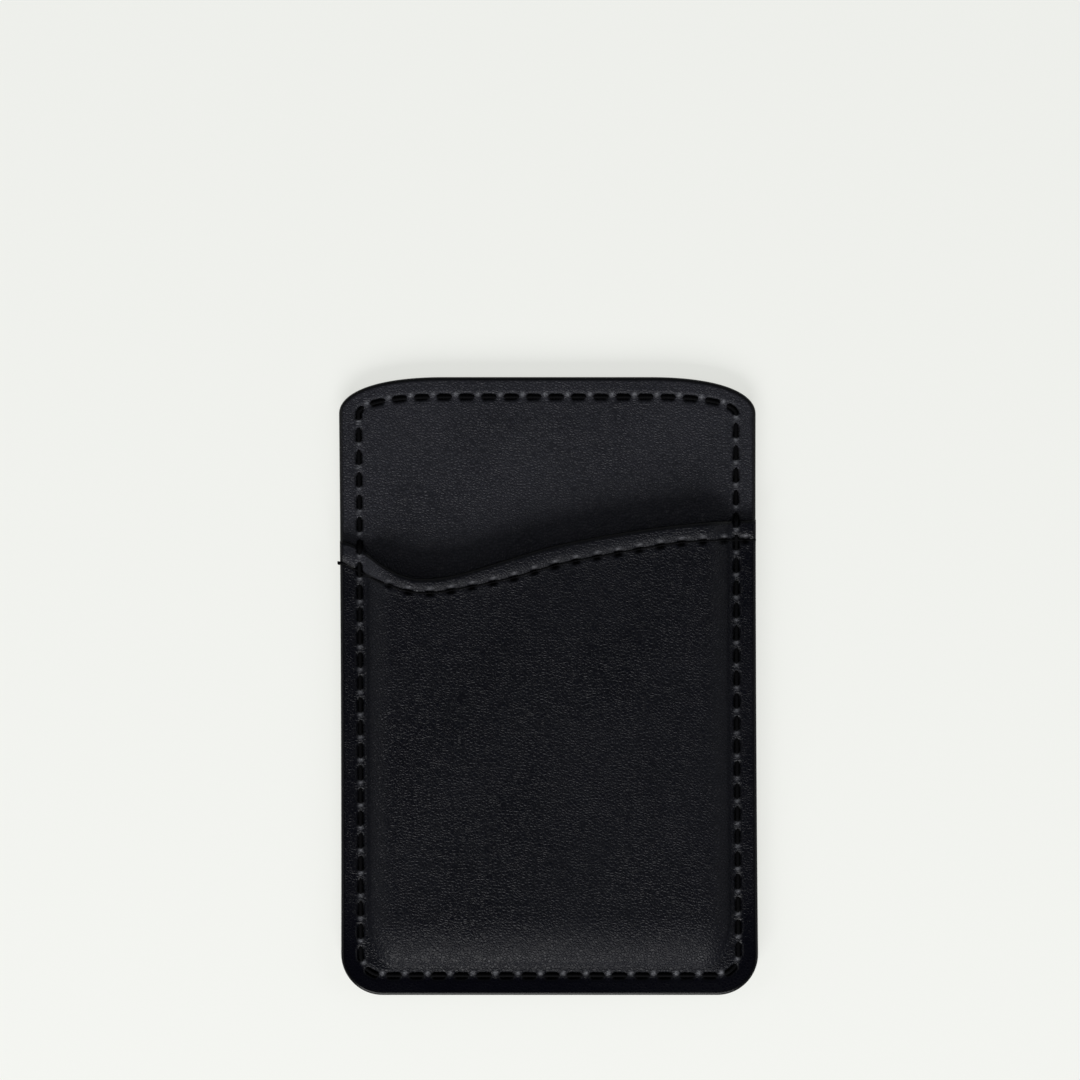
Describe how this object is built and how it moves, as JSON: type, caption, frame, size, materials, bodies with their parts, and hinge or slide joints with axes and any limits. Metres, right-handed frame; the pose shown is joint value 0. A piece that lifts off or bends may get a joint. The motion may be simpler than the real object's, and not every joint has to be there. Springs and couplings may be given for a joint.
{
  "type": "phone wallet",
  "caption": "Stick-on pocket wallet of black leatherette: a stitched flat pocket with a curved, hemmed mouth and an adhesive back.",
  "frame": {"origin": "middle of the adhesive face, at the bottom centre of the bounding box", "axes": "+X across the width with the mouth's high side at +X, +Y along the length towards the open end, +Z out of the adhesive face through the pocket"},
  "size_m": [0.0636, 0.094, 0.0067],
  "materials": {
    "adhesive": "pale pressure-sensitive adhesive sheet",
    "leatherette": "black semi-matt leatherette with a fine pebble grain",
    "panel_leatherette": "black semi-matt leatherette with a fine pebble grain",
    "sewing_thread": "black twisted polyester thread"
  },
  "bodies": {
    "root": {"adhesive_pad": "adhesive", "back_cover": "leatherette", "back_facing": "leatherette", "pocket_panel": "panel_leatherette", "perimeter_needle_thread": "sewing_thread", "perimeter_bobbin_thread": "sewing_thread", "mouth_needle_thread": "sewing_thread", "mouth_bobbin_thread": "sewing_thread"}
  },
  "joints": []
}
